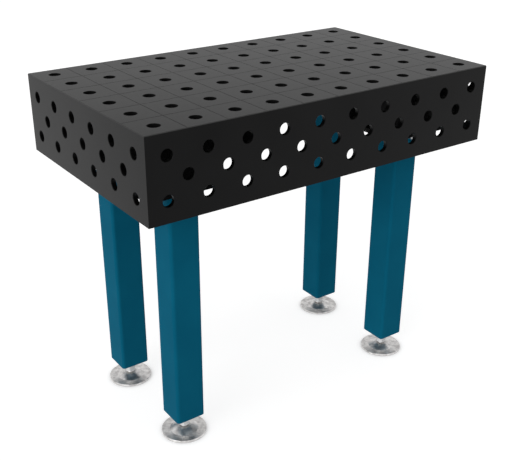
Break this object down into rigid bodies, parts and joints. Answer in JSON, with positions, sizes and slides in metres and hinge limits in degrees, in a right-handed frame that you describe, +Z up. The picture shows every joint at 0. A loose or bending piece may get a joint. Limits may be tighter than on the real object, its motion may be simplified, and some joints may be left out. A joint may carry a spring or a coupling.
{
  "type": "welding table",
  "caption": "Steel welding table: ribbed box top with a grid of 28 mm system holes on top and sides, on bolted square legs with screw-adjusted, tilting feet.",
  "frame": {"origin": "middle of the floor area under the four feet, on the floor", "axes": "+X along the length of the top, +Y from the front wall to the back wall, +Z up"},
  "size_m": [1, 0.6, 0.875],
  "materials": {
    "burnished_steel": "burnished black, satin",
    "mill_steel": "dark oiled mill finish",
    "teal_paint": "teal powder coat, satin",
    "bright_foot": "bright zinc plated, turned",
    "zinc_fastener": "zinc plated"
  },
  "bodies": {
    "table": {"top_plate": "burnished_steel", "front_wall": "burnished_steel", "back_wall": "burnished_steel", "left_end_wall": "burnished_steel", "right_end_wall": "burnished_steel", "front_long_rib": "mill_steel", "back_long_rib": "mill_steel", "left_cross_rib": "mill_steel", "right_cross_rib": "mill_steel", "flange_washers": "zinc_fastener", "front_left_leg_rib": "mill_steel", "front_left_mounting_plate": "mill_steel", "front_left_leg_flange": "teal_paint", "front_left_flange_bolts": "zinc_fastener", "front_left_leg_tube": "teal_paint", "front_left_leg_end_plate": "teal_paint", "front_left_threaded_bush": "mill_steel", "front_right_leg_rib": "mill_steel", "front_right_mounting_plate": "mill_steel", "front_right_leg_flange": "teal_paint", "front_right_flange_bolts": "zinc_fastener", "front_right_leg_tube": "teal_paint", "front_right_leg_end_plate": "teal_paint", "front_right_threaded_bush": "mill_steel", "back_left_leg_rib": "mill_steel", "back_left_mounting_plate": "mill_steel", "back_left_leg_flange": "teal_paint", "back_left_flange_bolts": "zinc_fastener", "back_left_leg_tube": "teal_paint", "back_left_leg_end_plate": "teal_paint", "back_left_threaded_bush": "mill_steel", "back_right_leg_rib": "mill_steel", "back_right_mounting_plate": "mill_steel", "back_right_leg_flange": "teal_paint", "back_right_flange_bolts": "zinc_fastener", "back_right_leg_tube": "teal_paint", "back_right_leg_end_plate": "teal_paint", "back_right_threaded_bush": "mill_steel"},
    "front_left_ball": {"front_left_swivel_ball": "bright_foot"},
    "front_left_screw": {"front_left_foot_spindle": "bright_foot", "front_left_lock_nut": "bright_foot"},
    "front_left_foot": {"front_left_foot_pad": "bright_foot", "front_left_retaining_cap": "bright_foot"},
    "front_right_ball": {"front_right_swivel_ball": "bright_foot"},
    "front_right_screw": {"front_right_foot_spindle": "bright_foot", "front_right_lock_nut": "bright_foot"},
    "front_right_foot": {"front_right_foot_pad": "bright_foot", "front_right_retaining_cap": "bright_foot"},
    "back_left_ball": {"back_left_swivel_ball": "bright_foot"},
    "back_left_screw": {"back_left_foot_spindle": "bright_foot", "back_left_lock_nut": "bright_foot"},
    "back_left_foot": {"back_left_foot_pad": "bright_foot", "back_left_retaining_cap": "bright_foot"},
    "back_right_ball": {"back_right_swivel_ball": "bright_foot"},
    "back_right_screw": {"back_right_foot_spindle": "bright_foot", "back_right_lock_nut": "bright_foot"},
    "back_right_foot": {"back_right_foot_pad": "bright_foot", "back_right_retaining_cap": "bright_foot"}
  },
  "joints": [
    {"name": "front_left_foot_travel", "type": "slide", "parent": "table", "child": "front_left_ball", "axis": [0, 0, -1], "range_m": [0, 0.035]},
    {"name": "front_left_spindle_turn", "type": "hinge", "parent": "front_left_ball", "child": "front_left_screw", "pos_m": [-0.35, -0.15, 0.026], "axis": [0, 0, -1], "range_deg": [0, 5040]},
    {"name": "front_left_foot_tilt", "type": "hinge", "parent": "front_left_ball", "child": "front_left_foot", "pos_m": [-0.35, -0.15, 0.011], "axis": [1, 0, 0], "range_deg": [-8, 8]},
    {"name": "front_right_foot_travel", "type": "slide", "parent": "table", "child": "front_right_ball", "axis": [0, 0, -1], "range_m": [0, 0.035]},
    {"name": "front_right_spindle_turn", "type": "hinge", "parent": "front_right_ball", "child": "front_right_screw", "pos_m": [0.35, -0.15, 0.026], "axis": [0, 0, -1], "range_deg": [0, 5040]},
    {"name": "front_right_foot_tilt", "type": "hinge", "parent": "front_right_ball", "child": "front_right_foot", "pos_m": [0.35, -0.15, 0.011], "axis": [1, 0, 0], "range_deg": [-8, 8]},
    {"name": "back_left_foot_travel", "type": "slide", "parent": "table", "child": "back_left_ball", "axis": [0, 0, -1], "range_m": [0, 0.035]},
    {"name": "back_left_spindle_turn", "type": "hinge", "parent": "back_left_ball", "child": "back_left_screw", "pos_m": [-0.35, 0.15, 0.026], "axis": [0, 0, -1], "range_deg": [0, 5040]},
    {"name": "back_left_foot_tilt", "type": "hinge", "parent": "back_left_ball", "child": "back_left_foot", "pos_m": [-0.35, 0.15, 0.011], "axis": [1, 0, 0], "range_deg": [-8, 8]},
    {"name": "back_right_foot_travel", "type": "slide", "parent": "table", "child": "back_right_ball", "axis": [0, 0, -1], "range_m": [0, 0.035]},
    {"name": "back_right_spindle_turn", "type": "hinge", "parent": "back_right_ball", "child": "back_right_screw", "pos_m": [0.35, 0.15, 0.026], "axis": [0, 0, -1], "range_deg": [0, 5040]},
    {"name": "back_right_foot_tilt", "type": "hinge", "parent": "back_right_ball", "child": "back_right_foot", "pos_m": [0.35, 0.15, 0.011], "axis": [1, 0, 0], "range_deg": [-8, 8]}
  ],
  "couplings": [
    {"joint": "front_left_spindle_turn", "follows": "front_left_foot_travel", "rad_per_m": 2513.3},
    {"joint": "front_right_spindle_turn", "follows": "front_right_foot_travel", "rad_per_m": 2513.3},
    {"joint": "back_left_spindle_turn", "follows": "back_left_foot_travel", "rad_per_m": 2513.3},
    {"joint": "back_right_spindle_turn", "follows": "back_right_foot_travel", "rad_per_m": 2513.3}
  ]
}
